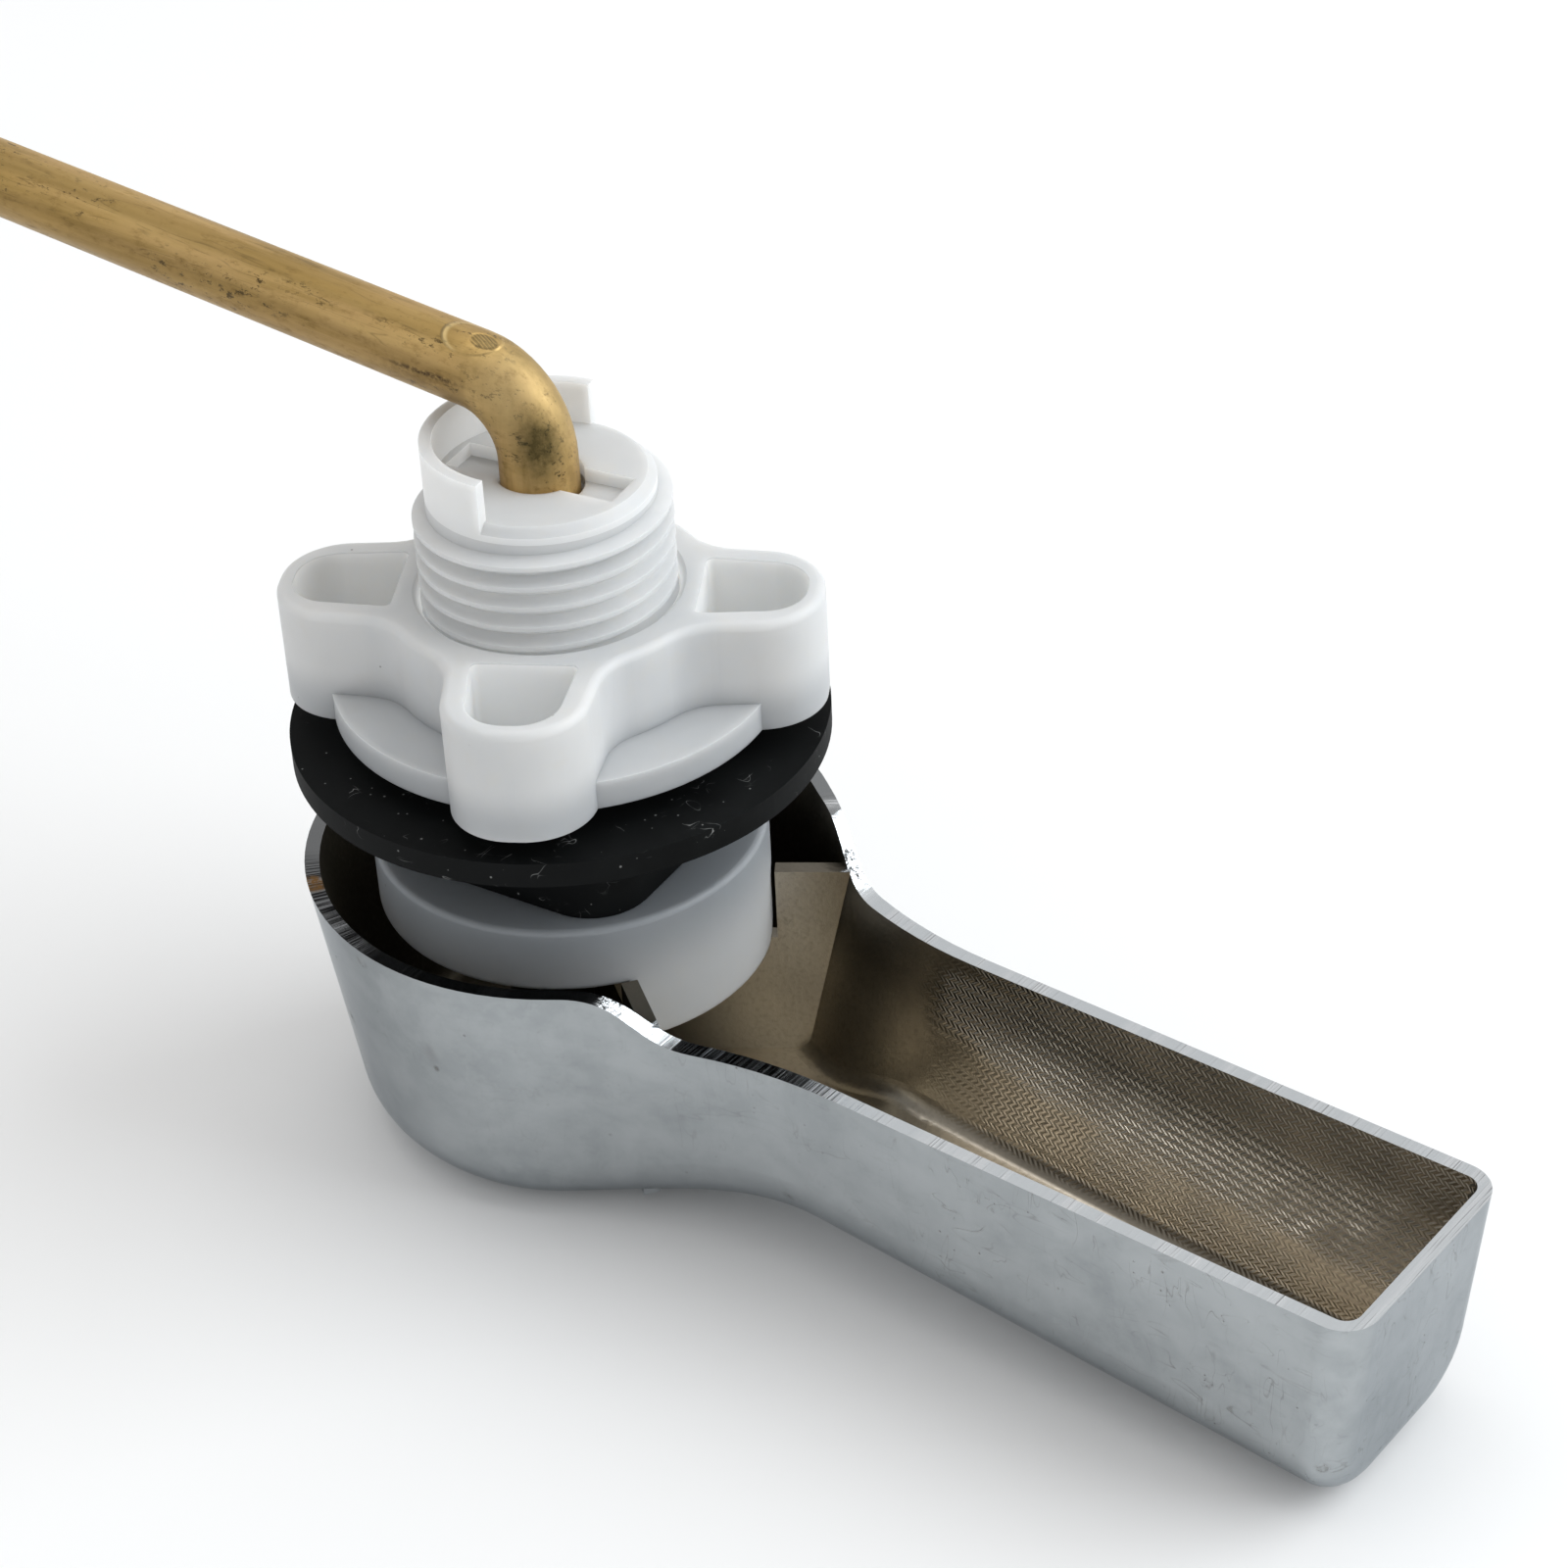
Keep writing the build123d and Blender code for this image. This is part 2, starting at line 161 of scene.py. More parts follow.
# The range that most values of a noise fall in, and the y and z of the normal on the back of the arm.
NOISE_SPAN = (0.3, 0.7)
ARM_BACK_NORMAL = (0.665, 0.747)

# The ground lies at the part's lowest point. Like the lights and the camera, it is in metres.
GROUND_Z = cad_box[0][2]
GROUND_HALF = 6.0


class Wire:
    """One output socket of a material; arithmetic between wires and numbers adds Math nodes."""

    def __init__(self, tree, socket=None):
        self.tree = tree
        self.socket = socket

    def add(self, kind, settings=None, inputs=None, out=0):
        """Adds a node: its type, then its settings, then the values or wires of its sockets."""
        node = self.tree.nodes.new(kind)
        for name, value in (settings or {}).items():
            setattr(node, name, value)
        for key, value in (inputs or {}).items():
            if isinstance(value, Wire):
                self.tree.links.new(value.socket, node.inputs[key])
            else:
                node.inputs[key].default_value = value
        return Wire(self.tree, node.outputs[out])

    def math(self, operation, first, second=0.0):
        """Adds one Math node."""
        return self.add("ShaderNodeMath", {"operation": operation}, {0: first, 1: second})

    def __add__(self, other):
        return self.math("ADD", self, other)

    __radd__ = __add__

    def __sub__(self, other):
        return self.math("SUBTRACT", self, other)

    def __rsub__(self, other):
        return self.math("SUBTRACT", other, self)

    def __mul__(self, other):
        return self.math("MULTIPLY", self, other)

    __rmul__ = __mul__

    def __truediv__(self, other):
        return self.math("DIVIDE", self, other)

    def __rtruediv__(self, other):
        return self.math("DIVIDE", other, self)

    def __lt__(self, other):
        return self.math("LESS_THAN", self, other)

    def __gt__(self, other):
        return self.math("GREATER_THAN", self, other)

    def __abs__(self):
        return self.math("ABSOLUTE", self)

    def at_least(self, other):
        """The greater of two values: on masks, one or the other."""
        return self.math("MAXIMUM", self, other)

    def at_most(self, other):
        """The smaller of two values."""
        return self.math("MINIMUM", self, other)

    def hypotenuse(self, other):
        """Square root of the sum of two squares."""
        return self.math("SQRT", self * self + other * other)

    def ramp(self, low, high, start=0.0, end=1.0):
        """Eases from start to end while the value goes from low to high."""
        settings = {"interpolation_type": "SMOOTHSTEP"}
        sockets = {"Value": self, "From Min": low, "From Max": high, "To Min": start, "To Max": end}
        return self.add("ShaderNodeMapRange", settings, sockets)

    def fade(self, low, high):
        """Eases from 1 down to 0 while the value goes from low to high."""
        return self.ramp(low, high, 1.0, 0.0)

    def blend(self, first, second):
        """Colour mix: first where this mask is 0, second where it is 1."""
        sockets = {0: self, 6: colour(first), 7: colour(second)}
        return self.add("ShaderNodeMix", {"data_type": "RGBA"}, sockets, 2)


def colour(value):
    """A wire as it is, or an RGB triple with its alpha."""
    return value if isinstance(value, Wire) else (*value, 1.0)


class Finish:
    """A material with its shader, and the wires that its patterns start from.

    Those are the place in millimetres, as mm and as x, y, z, and the surface's normal, as nx, ny, nz.
    """

    def __init__(self, name, **constants):
        self.material = bpy.data.materials.new(name)
        self.material.use_nodes = True
        tree = self.material.node_tree
        self.shader = tree.nodes["Principled BSDF"]
        for socket, value in constants.items():
            self.shader.inputs[socket.replace("_", " ")].default_value = value
        self.start = Wire(tree)
        place = self.start.add("ShaderNodeTexCoord", out="Object")
        normal = self.start.add("ShaderNodeTexCoord", out="Normal")
        self.mm = self.vector("SCALE", {0: place, "Scale": 1000.0})
        self.x, self.y, self.z = self.split(self.mm)
        self.nx, self.ny, self.nz = self.split(normal)

    def vector(self, operation, sockets, out=0):
        """Adds one Vector Math node."""
        return self.start.add("ShaderNodeVectorMath", {"operation": operation}, sockets, out)

    def stretched(self, *factors):
        """The place with each axis scaled; a small factor draws a pattern out along its axis."""
        return self.vector("MULTIPLY", {0: self.mm, 1: factors})

    def split(self, vector):
        """The three axes of a vector."""
        parts = self.start.add("ShaderNodeSeparateXYZ", None, {0: vector})
        outputs = parts.socket.node.outputs
        return [Wire(parts.tree, outputs[axis]) for axis in range(3)]

    def joined(self, x, y, z):
        """A vector from its three axes."""
        return self.start.add("ShaderNodeCombineXYZ", None, {0: x, 1: y, 2: z})

    def noise(self, size, detail=3.0, rough=0.55, place=None, twist=0.0):
        """Cloudy pattern from 0 to 1 whose blotches are about one size across."""
        sockets = {"Vector": place or self.mm, "Scale": 1.0 / size}
        sockets.update({"Detail": detail, "Roughness": rough, "Distortion": twist})
        return self.start.add("ShaderNodeTexNoise", None, sockets)

    def specks(self, size, share, radius):
        """Round dots on a random lattice: only a share of the cells carry one."""
        sockets = {"Vector": self.mm, "Scale": 1.0 / size}
        cell = self.start.add("ShaderNodeTexVoronoi", None, sockets)
        outputs = cell.socket.node.outputs
        red = self.start.add("ShaderNodeSeparateColor", None, {0: Wire(cell.tree, outputs["Color"])})
        near = Wire(cell.tree, outputs["Distance"]).fade(radius * 0.5, radius)
        return near * (red < share)

    def hairlines(self, size, along, share, width, twist=0.6):
        """Thin scratches: narrow bands round the middle of a noise drawn out along one direction."""
        sheet = self.noise(size, detail=1.0, rough=0.4, place=self.stretched(*along), twist=twist)
        patch = self.noise(size * 2.2, detail=2.0).ramp(1.0 - share - 0.12, 1.0 - share + 0.12)
        return abs(sheet - 0.5).fade(0.0, width) * patch

    def ball(self, centre, radii, soft):
        """A soft ellipsoid mask, 1 in the middle and 0 outside."""
        shifted = self.vector("SUBTRACT", {0: self.mm, 1: centre})
        unit = self.vector("DIVIDE", {0: shifted, 1: radii})
        return self.vector("LENGTH", {0: unit}, "Value").fade(1.0 - soft, 1.0)

    def bump(self, height, depth_mm):
        """A normal from a height wire, where a height of 1 stands depth_mm proud."""
        sockets = {"Strength": 1.0, "Distance": depth_mm / 1000.0, "Height": height}
        return self.start.add("ShaderNodeBump", None, sockets)

    def feed(self, **sockets):
        """Links wires to the shader's sockets; an underscore in a name stands for a space."""
        for socket, wire in sockets.items():
            self.start.tree.links.new(wire.socket, self.shader.inputs[socket.replace("_", " ")])


def handle_regions(f):
    """Masks for the inside of the hub and trough, and for the rim.

    The inside is where the surface faces the spine, a line at rim height from the hub to the tip.
    """
    above_rim = f.z - f.x.ramp(*RIM_SLOPE_X, RIM_Z, LEVER_RIM_Z)
    spine_x = f.start.add("ShaderNodeClamp", None, {"Value": f.x, "Min": 0.0, "Max": SPINE_END_X})
    facing = (f.x - spine_x) * f.nx + f.y * f.ny + above_rim * f.nz
    hub_wall = (f.z - RIM_Z) * HUB_INNER_DRAFT + HUB_INNER_R
    in_hub = (f.x.hypotenuse(f.y) < hub_wall) * (f.z > HUB_FLOOR_Z - FLOOR_SLACK)
    inside = (facing < 0.0).at_least(in_hub)
    rim = abs(above_rim).fade(*RIM_DEPTH) * (f.nz > 0.55)
    return inside, rim


def polished_plate(f):
    """Outside of the casting: cloudy polish, pits, rubbed marks, and hairlines towards the tip."""
    cloud = f.noise(11.0, detail=4.0, rough=0.6, twist=0.8)
    smear = f.noise(5.0, place=f.stretched(0.35, 0.35, 1.0))
    worn = f.x.ramp(*WORN_X, 0.25, 1.0)
    pits = f.specks(1.9, share=0.22, radius=0.11) + f.specks(0.8, share=0.12, radius=0.17) * worn
    upright = f.hairlines(1.3, (1.0, 1.0, 0.24), share=0.5, width=0.013)
    level = f.hairlines(1.7, (0.25, 0.6, 1.0), share=0.5, width=0.013)
    ticks = f.hairlines(0.7, (0.5, 1.0, 0.35), share=0.45, width=0.016)
    ticks = ticks * f.specks(1.6, share=0.5, radius=0.5)
    rubbed = f.specks(5.0, share=0.32, radius=0.17) * f.noise(0.7, rough=0.7).ramp(0.4, 0.65)
    gathered = f.noise(7.0, detail=2.0).ramp(0.35, 0.62, 0.3, 1.0)
    marks = (pits * 0.7 + ((upright + level) * 0.5 + ticks * 0.7) * worn) * gathered
    marks = (marks + rubbed * 0.5).at_most(1.0)
    marks = (marks + (f.ball(*FLANK_SPECK) * 0.7 + f.ball(*FLANK_HALO) * 0.25)).at_most(1.0)

    tone = (cloud * 0.6 + smear * 0.4).ramp(*NOISE_SPAN).blend(PLATE_DULL, PLATE_CLEAR)
    bloom = f.noise(2.0, detail=4.0, rough=0.65).ramp(0.4, 0.66)
    tone = (bloom * 0.35).blend(tone, PLATE_BLOOM)
    tone = (marks * 0.8).blend(tone, PLATE_MARK)
    rough = 0.15 + cloud.ramp(0.35, 0.75, 0.0, 0.1) + marks * 0.2
    relief = f.noise(3.2, detail=2.0) * 0.35 - marks * 0.5
    return tone, rough, relief


def ground_rim(f, crumb):
    """Rim: ground flat, with fine grinding marks across its width, and chipped where it slopes.

    Its marks are counted by the turn round the hub, and by x along the straight part.
    """
    turn = f.start.math("ARCTAN2", f.y, f.x) * RIM_R
    along = f.x.ramp(*RIM_STRAIGHT_X) * (f.x - turn) + turn
    grind = f.noise(0.26, detail=2.0, rough=0.7, place=f.joined(along, f.y * 0.02, 0.0))
    nick = f.noise(2.2, rough=0.6, place=f.joined(along, f.y * 0.05, 0.0))
    chip = f.ball(*FRONT_CHIP) + f.ball(*BACK_CHIP)
    hatch = f.x.ramp(*HATCH_START_X) * f.x.fade(*HATCH_END_X) + f.ball(*HATCHED_ARC)
    # painted reflection: the rim's level top is painted near black, standing in for the black washer it
    # would mirror, broken up where nicked
    level = (f.z > RIM_Z - RIM_LEVEL_SLACK) * (1.0 - nick.ramp(0.54, 0.68) * 0.6)

    tone = nick.ramp(0.45, 0.7).blend(RIM_GREY, RIM_BRIGHT)
    tone = (level * f.x.ramp(*RIM_LEVEL_X, 0.9, 0.75)).blend(tone, RIM_DARK_REFLECTION)
    tone = (grind.ramp(0.54, 0.7) * nick.ramp(0.42, 0.6) * 0.65).blend(tone, RIM_SCORE)
    tone = (hatch * (f.y < 0.0) * grind.ramp(0.46, 0.54)).blend(tone, RIM_HATCH)
    tone = (chip * crumb.ramp(0.5, 0.62)).blend(tone, RIM_CHIP)
    rough = 0.14 + grind * 0.12
    relief = grind * 1.2 * nick.ramp(0.4, 0.6, 0.25, 1.6) + nick * 0.6 + chip * crumb * 9.0
    return tone, rough, relief


def cutter_marks(f):
    """Cutter marks on the trough's sides: rows along the lever, each of short slanted ticks.

    The ticks of two rows meet in a zigzag, and the rows fade outside a band that falls towards the tip.
    """
    side_wall = abs(f.ny).ramp(0.6, 0.85) * f.x.ramp(*CUTTER_X)
    drift = f.noise(6.0, detail=2.0) * 0.5
    row = (f.z * 0.93 + f.x * 0.135 + drift) / CUTTER_ROW
    zigzag = abs(f.start.math("FRACT", row) - 0.5)
    tick = f.start.math("SINE", (f.x + zigzag + drift) * (math.tau / CUTTER_TICK))
    height = f.z + (f.x - CUTTER_BAND_X) * CUTTER_BAND_FALL
    band = height.ramp(*CUTTER_FOOT_Z) * height.ramp(*CUTTER_TOP_Z, 1.0, 0.05)
    uneven = f.noise(5.0, detail=2.0).ramp(*NOISE_SPAN, 0.5, 1.0)
    return tick * side_wall * (band * 0.8 + 0.2) * uneven


def satin_inside(f):
    """Inside of the casting: thin warm plate over the cast skin; painted reflection makes it browner
    towards the rim.
    """
    patch = f.noise(9.0, detail=4.0, rough=0.6)
    grain = f.noise(0.45, rough=0.6)
    deep = (f.z + patch * 3.0).fade(*DEEP_Z)
    rib = f.nx.ramp(0.35, 0.7) * f.x.fade(*RIB_X)
    shade_under_bush = f.x.fade(*UNDER_BUSH_X)
    corner = abs(f.ny).ramp(0.2, 0.45) * f.nz.ramp(0.25, 0.5) * f.x.ramp(*CORNER_X, 0.35, 0.85)

    # painted reflection: dark brown near the rim and pale deep down, a little less pale at the neck,
    # standing in for what the walls would mirror
    tone = deep.blend(SATIN_DARK_REFLECTION, f.x.ramp(*NECK_X).blend(SATIN_NECK_REFLECTION, SATIN_DEEP_REFLECTION))
    tone = (patch.ramp(0.35, 0.7) * 0.2).blend(tone, SATIN_PATCH)
    # painted light: the rib's face is painted almost white, darker towards its foot, standing in for
    # the light it would catch
    tone = rib.blend(tone, f.z.ramp(*RIB_Z).blend(RIB_SHADED_FOOT, RIB_LIT_TOP))
    # painted shade: the hub's floor under the bush is painted dark
    tone = shade_under_bush.blend(tone, SATIN_SHADE_UNDER_BUSH)
    tone = (grain.ramp(0.45, 0.75) * 0.3).blend(tone, SATIN_GRAIN)
    # painted shade along the fillet between the front wall and the floor, in place of the highlight it
    # would show
    tone = corner.blend(tone, SATIN_CORNER_SHADE)
    rough = 0.24 + patch * 0.12 + rib * 0.25 + corner * 0.25 + shade_under_bush * 0.15
    skin = cutter_marks(f) * 7.0 + grain * 0.5 + f.noise(1.4, detail=2.0) * 0.4
    return tone, rough, skin * 2.2


def chromed_casting():
    """The handle: polished outside, satin inside, a ground rim, and a bloom of rust on its edge."""
    f = Finish("chromed_casting", Metallic=1.0, Specular_Tint=PLATE_GLANCE)
    inside, rim = handle_regions(f)
    crumb = f.noise(0.5, rough=0.7)
    plate, plate_rough, peel = polished_plate(f)
    satin, satin_rough, skin = satin_inside(f)
    ground_tone, ground_rough, edge = ground_rim(f, crumb)
    rust = f.ball(*RUST_SPOT) * crumb.ramp(0.38, 0.6, 0.3, 1.0)

    tone = rim.blend(inside.blend(plate, satin), ground_tone)
    tone = rust.blend(tone, RUST)
    rough = plate_rough + inside * (satin_rough - plate_rough)
    rough = rough + rim * (ground_rough - rough) + rust * 0.4
    relief = (peel + inside * (skin - peel)) * (1.0 - rim) + rim * edge
    f.feed(Base_Color=tone, Roughness=rough, Normal=f.bump(relief, depth_mm=0.02))
    return f.material


def aged_brass():
    """Drawn rod gone dull: tan and ochre streaks along it, black flecks and fine scratches.

    Its bend has a dark stain with a crease line, and a press mark on top.
    """
    f = Finish("aged_brass", Metallic=1.0)
    on_stem = f.x.ramp(*STEM_X)
    on_arm = 1.0 - on_stem
    arm_streak = f.noise(1.1, detail=4.0, rough=0.6, place=f.stretched(0.06, 1.0, 1.0))
    stem_streak = f.noise(1.1, detail=4.0, rough=0.6, place=f.stretched(1.0, 1.0, 0.1))
    streak = arm_streak + on_stem * (stem_streak - arm_streak)
    haze = f.noise(7.0, detail=4.0, rough=0.6, place=f.stretched(0.3, 1.0, 1.0))
    grime = f.noise(0.8, detail=5.0, rough=0.7, place=f.stretched(0.4, 1.0, 1.0))
    film = f.noise(3.6, detail=5.0, rough=0.66, place=f.stretched(0.16, 1.0, 1.0))
    cluster = f.noise(8.0, rough=0.6, place=f.stretched(0.5, 1.0, 1.0)).ramp(0.44, 0.58)
    pocks = f.noise(0.6, detail=5.0, rough=0.8, place=f.stretched(0.5, 1.0, 1.0))
    pocks = pocks.ramp(0.56, 0.63) * cluster
    scratch = f.hairlines(0.9, (0.05, 1.0, 1.0), share=0.5, width=0.02, twist=0.1) * on_arm
    towards_back = f.ny * ARM_BACK_NORMAL[0] + f.nz * ARM_BACK_NORMAL[1]
    dark_reflection_band = towards_back.ramp(0.05, 0.35) * towards_back.fade(0.5, 0.88) * on_arm
    underside_shade = f.nz.ramp(0.2, 0.55, 0.58, 0.0) * f.x.ramp(*STEM_UNDERSIDE_X, 1.0, 0.15)

    tone = haze.ramp(*NOISE_SPAN).blend(BRASS_OCHRE, BRASS_TAN)
    tone = (streak.ramp(0.46, 0.7) * 0.6).blend(tone, BRASS_BRIGHT)
    tone = (streak.fade(0.3, 0.48) * 0.5).blend(tone, BRASS_STREAK)
    tone = (film.ramp(0.44, 0.68) * 0.45).blend(tone, BRASS_FILM)
    tone = (grime.ramp(0.5, 0.78) * 0.5).blend(tone, BRASS_GRIME)
    # painted reflection: a dark band along the upper back of the arm, standing in for the dark
    # surroundings it would mirror
    tone = (dark_reflection_band * 0.62).blend(tone, BRASS_DARK_REFLECTION_BAND)
    # painted shade: the underside is painted darker, in place of the lit floor it would mirror, varied
    # a little by grime
    tone = (underside_shade * grime.ramp(0.35, 0.65, 0.85, 1.0)).blend(tone, BRASS_UNDERSIDE_SHADE)
    tone = (pocks * 0.9 + scratch * 0.35).blend(tone, BRASS_POCK)

    # stain on the outer, lower part of the bend, with its band and crease line along the arm
    blotch = f.noise(1.1, detail=5.0, rough=0.7)
    stain = f.ball(*STAIN) * blotch.ramp(0.3, 0.65, 0.75, 1.0)
    band = f.ball(*STAIN_BAND) * blotch.ramp(0.35, 0.65, 0.35, 0.9)
    crease = f.ball(*CREASE) * blotch.ramp(0.36, 0.56)
    # painted shade: the stem is painted darker and redder on its left side, away from the window
    tone = (on_stem * f.nx.ramp(-0.8, -0.1, 0.5, 0.0)).blend(tone, BRASS_STEM_SHADE)
    tone = (stain * 0.9).blend(tone, BRASS_STAIN)
    tone = (band * 0.8).blend(tone, BRASS_STAIN_BAND)
    tone = crease.blend(tone, BRASS_CREASE)

    # press mark: an oval flat with fine grooves, and the raised crescent that the tool's edge left
    dent = f.ball(*PRESS_DENT)
    pad = f.ball(*PRESS_PAD)
    crescent = (pad - f.ball(*PRESS_PAD_INNER)) * f.x.fade(*CRESCENT_X)
    across = f.y * GROOVE_ACROSS[1] + f.x * GROOVE_ACROSS[0]
    groove = f.start.math("SINE", across * (math.tau / GROOVE_PITCH))
    tone = (dent * (0.6 + groove * 0.25)).blend(tone, BRASS_DENT)
    tone = (crescent * 0.45).blend(tone, BRASS_CRESCENT)

    # painted light: the bend is painted duller and paler where the lamps' highlight falls, to tone that
    # highlight down, except in the stain
    bend = f.ball(*BEND)
    tone = (bend * 0.5 * (1.0 - stain)).blend(tone, BRASS_DULLED_HIGHLIGHT)
    dulled = haze.ramp(0.35, 0.7, 0.0, 0.1) + grime.ramp(0.5, 0.75, 0.0, 0.16)
    rough = 0.40 + bend * 0.13 + dulled + stain * 0.1
    relief = streak * 0.4 + grime * 0.3 - pocks * 0.6 - scratch * 0.3
    relief = relief + pad * 4.0 - dent * (3.4 + groove * 0.6)
    f.feed(Base_Color=tone, Roughness=rough, Normal=f.bump(relief, depth_mm=0.03))
    return f.material


def milky_plastic(name, thin, shaded, lit):
    """Unfilled moulding, cool white and cloudy, with faint flow marks, dark flecks and light scuffs.

    It lets light through, which its three masks stand in for, each a function of the finish: hollows
    painted paler to lift their shade, painted shade next to the black rubber, and a painted glow where
    light would come through the wall from behind.
    """
    f = Finish(name, Subsurface_Weight=0.8, Subsurface_Scale=0.0025, Subsurface_Radius=PLASTIC_SCATTER,
               IOR=1.49, Emission_Strength=1.0)
    flow = f.noise(9.0, rough=0.5, place=f.stretched(1.0, 1.0, 0.5))
    mottle = f.noise(2.4, rough=0.6)
    flecks = f.specks(2.6, share=0.07, radius=0.09) + f.specks(1.3, share=0.012, radius=0.12)
    scuff = f.hairlines(2.4, (0.3, 1.0, 0.8), share=0.3, width=0.01)
    tone = flow.ramp(*NOISE_SPAN).blend(PLASTIC_COOL, PLASTIC_PALE)
    tone = (mottle.ramp(0.5, 0.75) * 0.35).blend(tone, PLASTIC_MOTTLE)
    # painted light: hollows painted paler to lift their shade
    tone = thin(f).blend(tone, PLASTIC_HOLLOW_LIGHT)
    # painted shade next to the black rubber
    tone = shaded(f).blend(tone, PLASTIC_SHADED)
    tone = (flecks * 0.8).blend(tone, PLASTIC_FLECK)
    # painted glow: an emission standing in for light that comes through the wall
    glow = lit(f).blend(NO_GLOW, PLASTIC_PAINTED_GLOW)
    rough = 0.36 + flow.ramp(*NOISE_SPAN, 0.0, 0.08) + mottle * 0.08 + scuff * 0.15
    relief = mottle * 0.5 + f.noise(0.7, detail=2.0) * 0.25 - scuff * 0.25
    f.feed(Base_Color=tone, Roughness=rough, Emission_Color=glow)
    f.feed(Normal=f.bump(relief, depth_mm=0.012))
    return f.material


def thread_grooves(f):
    """Between the crests of the shank's thread, painted paler to lift their shade, most where the nut
    closes them off.
    """
    return f.x.hypotenuse(f.y).ramp(*THREAD_R, 0.75, 0.0) * (f.z > SHANK_Z) * f.z.fade(*OPEN_THREAD_Z)


def body_shade(f):
    """Painted shade on the round body under the washer, darkest at its upper edge."""
    return f.z.ramp(*BODY_Z, 0.25, 1.0) * (f.z < BODY_TOP_Z)


def crown_wall_glow(f):
    """Upright walls of the crown and its recess, given a painted glow that stands in for light coming
    through them.
    """
    return (f.z > CROWN_Z) * f.nz.ramp(0.3, 0.7, 0.45, 0.0)


def nut_hollows(f):
    """The four pockets of the nut, and its bore, painted paler to lift their shade: the quarter turns
    fold onto one wing.
    """
    cosine = math.cos(WING_TURN)
    sine = math.sin(WING_TURN)
    along = abs(f.x * cosine + f.y * sine)
    across = abs(f.y * cosine - f.x * sine)
    reach = along.at_least(across)
    side = along.at_most(across)
    past_end = (reach - POCKET_END).at_least(0.0)
    half_width = past_end.hypotenuse(side) + (reach - WING_TIP) * WING_TAPER
    pocket = reach.ramp(*POCKET_START) * half_width.fade(*POCKET_HALF) * (f.z < NUT_TOP_Z)
    bore = f.x.hypotenuse(f.y).fade(*NUT_BORE_R)
    return pocket.at_least(bore) * f.z.ramp(*POCKET_FLOOR_Z)


def nut_foot_shade(f):
    """Painted shade on the low parts of the wings and flange, next to the rubber."""
    return f.z.ramp(*NUT_FOOT_Z, 0.56, 0.0)


def nut_wall_glow(f):
    """The nut's bore, and faintly its pockets, given a painted glow that stands in for light coming
    through the walls.
    """
    bore = f.x.hypotenuse(f.y).fade(*NUT_BORE_LIT_R) * f.z.fade(*NUT_LIP_Z)
    return bore.at_least(nut_hollows(f) * 0.15)


def black_rubber():
    """Moulded rubber: matte charcoal with a faint grey bloom, dust, and short pale fibres."""
    f = Finish("black_rubber", IOR=1.45, Specular_IOR_Level=0.12)
    bloom = f.noise(6.0, detail=4.0, rough=0.6)
    dust = f.specks(1.1, share=0.16, radius=0.12) + f.specks(0.6, share=0.07, radius=0.17)
    fibre = f.hairlines(1.5, (0.5, 1.0, 1.0), share=0.4, width=0.01)
    fibre = fibre + f.hairlines(1.3, (1.0, 0.45, 1.0), share=0.4, width=0.01)
    fibre = fibre * f.specks(2.1, share=0.42, radius=0.55)
    tone = bloom.ramp(*NOISE_SPAN).blend(RUBBER_DARK, RUBBER_BLOOM)
    tone = (dust * 0.4 + fibre * 0.7).blend(tone, RUBBER_DUST)
    rough = 0.56 + bloom * 0.16 + dust * 0.2
    relief = f.noise(0.5, rough=0.6) * 0.5 + bloom * 0.5 + dust * 0.3 + fibre * 0.4
    f.feed(Base_Color=tone, Roughness=rough, Normal=f.bump(relief, depth_mm=0.02))
    return f.material


def pale_ground():
    """Plain pale studio ground with the faintest unevenness."""
    f = Finish("pale_ground", Roughness=0.9, Specular_IOR_Level=0.1)
    f.feed(Base_Color=f.noise(160.0, detail=2.0).ramp(*NOISE_SPAN).blend(GROUND_GREY, GROUND_PALE))
    return f.material


finishes = {
    "handle": chromed_casting(),
    "arm": aged_brass(),
    "housing": milky_plastic("milky_bush", thread_grooves, body_shade, crown_wall_glow),
    "lock_nut": milky_plastic("milky_nut", nut_hollows, nut_foot_shade, nut_wall_glow),
    "washer": black_rubber(),
}
for name, material in finishes.items():
    pieces[name].data.materials.clear()
    pieces[name].data.materials.append(material)


def level_sheet(name, half, height, steps):
    """A level square: x and y run evenly over the grid, z stays at one height."""
    side = np.linspace(-half, half, steps)
    x, y = np.meshgrid(side, side)
    points = np.stack([x.ravel(), y.ravel(), np.full(x.size, height)], axis=1)
    corner = (np.arange(steps - 1)[:, None] * steps + np.arange(steps - 1)).ravel()
    quads = np.stack([corner, corner + 1, corner + steps + 1, corner + steps], axis=1)
    mesh = bpy.data.meshes.new(name)
    mesh.from_pydata(points.tolist(), [], quads.tolist())
    sheet = bpy.data.objects.new(name, mesh)
    bpy.context.scene.collection.objects.link(sheet)
    return sheet


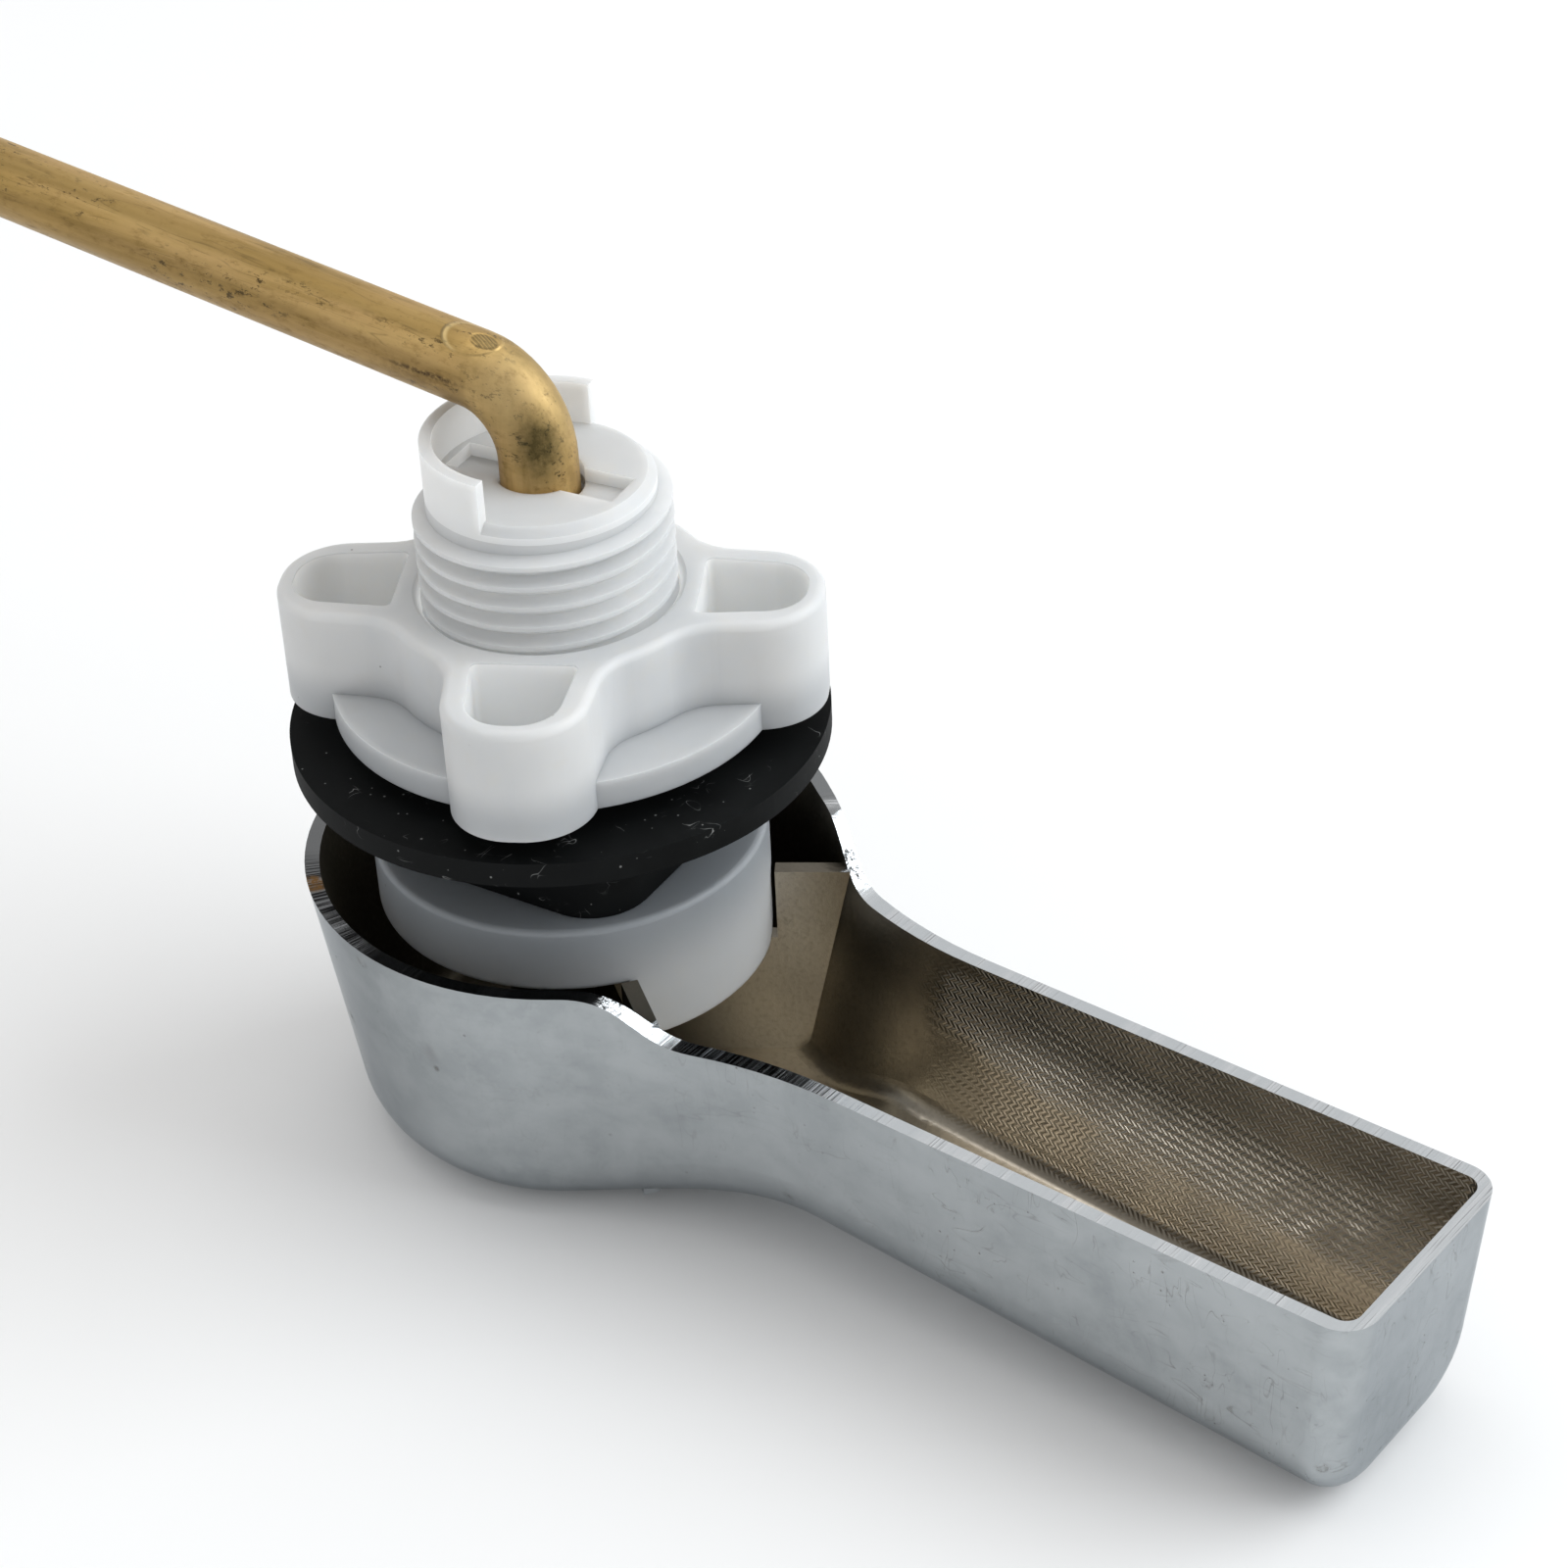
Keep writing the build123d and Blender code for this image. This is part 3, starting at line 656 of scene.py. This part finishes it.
ground = level_sheet("ground", GROUND_HALF, GROUND_Z, steps=25)
ground.data.materials.append(pale_ground())


def soft_panel(name, place, aim, size, watts, tint):
    """A rectangular area light at a place, turned towards an aim point."""
    lamp = bpy.data.lights.new(name, "AREA")
    lamp.shape = "RECTANGLE"
    lamp.size, lamp.size_y = size
    lamp.energy = watts
    lamp.color = tint
    holder = bpy.data.objects.new(name, lamp)
    holder.location = place
    holder.rotation_euler = (Vector(aim) - Vector(place)).to_track_quat("-Z", "Y").to_euler()
    bpy.context.scene.collection.objects.link(holder)


soft_panel("window", place=(0.8, 0.62, 0.72), aim=(0.02, 0.0, 0.0), size=(1.2, 1.0), watts=11.0,
           tint=(0.93, 0.97, 1.0))
soft_panel("overhead", place=(-0.15, 0.15, 1.05), aim=(0.0, 0.0, 0.0), size=(0.9, 0.9), watts=2.5,
           tint=(1.0, 0.99, 0.97))

# World: an even pale dome, a little greyer towards the horizon.
sky = bpy.data.worlds.new("studio")
sky.use_nodes = True
bpy.context.scene.world = sky
backdrop = sky.node_tree.nodes["Background"]
backdrop.inputs["Strength"].default_value = 0.66
sky_start = Wire(sky.node_tree)
direction = sky_start.add("ShaderNodeTexCoord", out="Generated")
height = sky_start.add("ShaderNodeSeparateXYZ", None, {0: direction}, "Z")
dome = height.ramp(-0.1, 0.9).blend(SKY_LOW, SKY_HIGH)
sky.node_tree.links.new(dome.socket, backdrop.inputs["Color"])

# Camera: its own three axes and its place.
lens = bpy.data.cameras.new("camera")
lens.sensor_width = 36.0
lens.lens = 85.5
lens.clip_start = 0.01
camera = bpy.data.objects.new("camera", lens)
right = (0.788422, 0.613738, -0.041433)
upward = (-0.320858, 0.467779, 0.823549)
back = (0.524825, -0.63601, 0.56573)
spot = (0.178333, -0.187639, 0.179154)
camera.matrix_world = Matrix([*zip(right, upward, back, spot), (0.0, 0.0, 0.0, 1.0)])
bpy.context.scene.collection.objects.link(camera)
bpy.context.scene.camera = camera
bpy.context.scene.view_settings.view_transform = "Standard"
